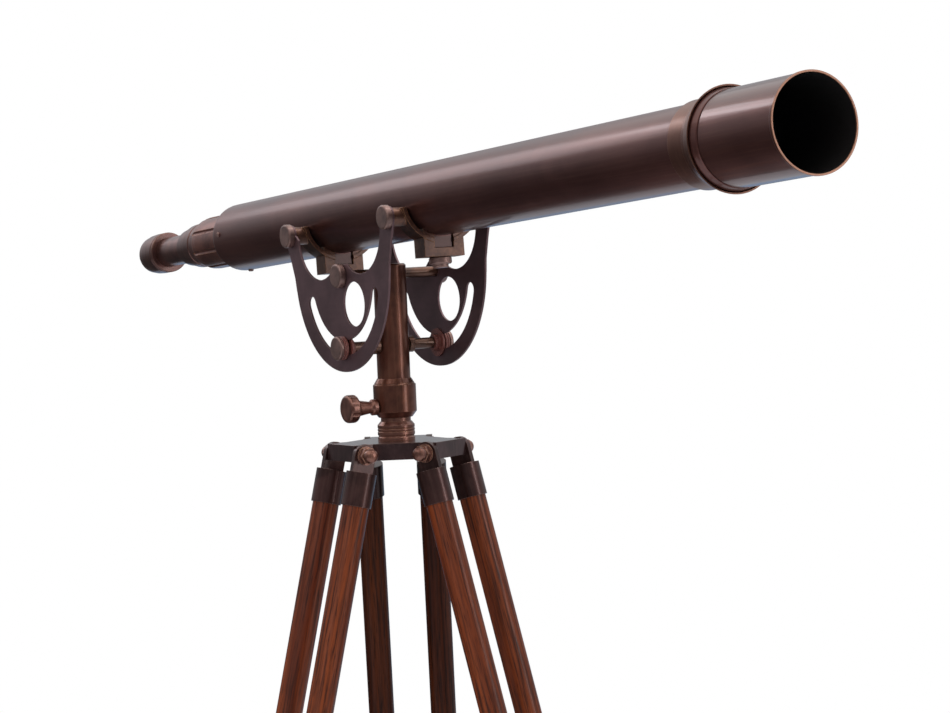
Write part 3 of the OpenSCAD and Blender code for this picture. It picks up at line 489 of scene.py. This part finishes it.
def card(name, place, turn, width, height, low, high, start, end, tint=CARD_TINT, tip=90):
    """A grey card of the studio that only shiny surfaces see. Its lightness goes from low to high
    between start and end, which are heights above its lower edge."""
    bm = bmesh.new()
    bmesh.ops.create_grid(bm, x_segments=1, y_segments=1, size=0.5)
    o = new_object(name, bm)
    o.rotation_euler = (math.radians(tip), 0, math.radians(turn + 90))
    o.location, o.scale = place, (width, height, 1)
    tree = Tree(name + "_grey")
    level = tree.spread(tree.split(tree.place())[1], start / height - 0.5, end / height - 0.5, low, high)
    shine = tree.nt.nodes.new("ShaderNodeEmission")
    shine.inputs[0].default_value = (*tint, 1)
    tree.nt.links.new(level, shine.inputs[1])
    tree.nt.links.new(shine.outputs[0], tree.nt.nodes["Material Output"].inputs[0])
    o.data.materials.append(tree.mat)
    for ray in ("camera", "diffuse", "transmission", "volume_scatter", "shadow"):
        setattr(o, "visible_" + ray, False)


# direction seen from the object, lightness at both ends of its gradient, and where that lies
CARDS = {"card_left": (180, 0.05, 0.62, 0.8, 2.35), "card_front_left": (225, 0.08, 0.42, 0.8, 2.4),
         "card_front": (270, 0.10, 0.24, 0.5, 2.6), "card_camera": (315, 0.12, 0.22, 0.5, 2.6),
         "card_camera_right": (0, 0.10, 0.26, 0.5, 2.6), "card_right": (45, 0.2, 0.34, 0.5, 2.6),
         "card_back": (90, 0.3, 0.5, 0.3, 2.6), "card_back_left": (135, 0.25, 0.5, 0.2, 2.6)}
CARD_WIDTH = 2 * RING * math.tan(math.pi / len(CARDS))
for name, (turn, low, high, start, end) in CARDS.items():
    card(name, outward(turn, RING, CARD_TOP / 2), turn, CARD_WIDTH, CARD_TOP, low, high, start, end)
card("card_low_back", outward(140, RING - 0.3, 0.45), 140, 3.2, 0.8, 0.75, 0.6, 0.1, 0.7, LOW_TINT)
card("card_low", (AIM.x - 1.95, AIM.y - 1.4, 0.3), 180, 3.6, 2.6, 0.04, 0.04, 0.5, 2.0, tip=0)


def scene_white(nt, shader_in, white, base):
    """Mixes base with a plain white that the camera, mirrors and glass see."""
    path = nt.nodes.new("ShaderNodeLightPath")
    seen = None
    for ray in ("Is Camera Ray", "Is Glossy Ray", "Is Transmission Ray"):
        if seen is None:
            seen = path.outputs[ray]
            continue
        m = nt.nodes.new("ShaderNodeMath")
        m.operation = "MAXIMUM"
        nt.links.new(seen, m.inputs[0])
        nt.links.new(path.outputs[ray], m.inputs[1])
        seen = m.outputs[0]
    mix = nt.nodes.new("ShaderNodeMixShader")
    nt.links.new(seen, mix.inputs[0])
    nt.links.new(base, mix.inputs[1])
    nt.links.new(white, mix.inputs[2])
    nt.links.new(mix.outputs[0], shader_in)
    return mix, seen


world = bpy.data.worlds.new("studio")
scene.world = world
world.use_nodes = True
nt = world.node_tree
ambient = nt.nodes["Background"]
ambient.inputs[0].default_value = (0.96, 0.98, 1.0, 1)
ambient.inputs[1].default_value = 0.55
backdrop = nt.nodes.new("ShaderNodeBackground")
backdrop.inputs[0].default_value = (1, 1, 1, 1)
backdrop.inputs[1].default_value = 1.0
scene_white(nt, nt.nodes["World Output"].inputs[0], backdrop.outputs[0], ambient.outputs[0])


FLOOR_R, FLOOR_Z = 60, -0.0005
FADE_FROM, FADE_TO = 1.6, 5.0                            # the floor turns white between these radii
bm = bmesh.new()
bmesh.ops.create_circle(bm, cap_ends=True, radius=FLOOR_R, segments=96)
floor = new_object("floor", bm)
floor.location = (0, 0, FLOOR_Z)
t = Tree("pale_floor")
floor.data.materials.append(t.mat)
v = t.place()
s = t.split(v)
grain = t.noise(v, 220, 3)
t.finish(t.mix(grain, srgb(222, 226, 232), srgb(232, 235, 240)), 0.75, 0.0)
t.bsdf.inputs["Specular IOR Level"].default_value = 0.2
glow = t.nt.nodes.new("ShaderNodeEmission")
surface = t.nt.nodes["Material Output"].inputs[0]
mix, seen = scene_white(t.nt, surface, glow.outputs[0], t.bsdf.outputs[0])
fade = t.math("MULTIPLY", seen, t.spread(t.length(s[0], s[1]), FADE_FROM, FADE_TO))
t.nt.links.new(fade, mix.inputs[0])

scene.view_settings.view_transform = "Standard"
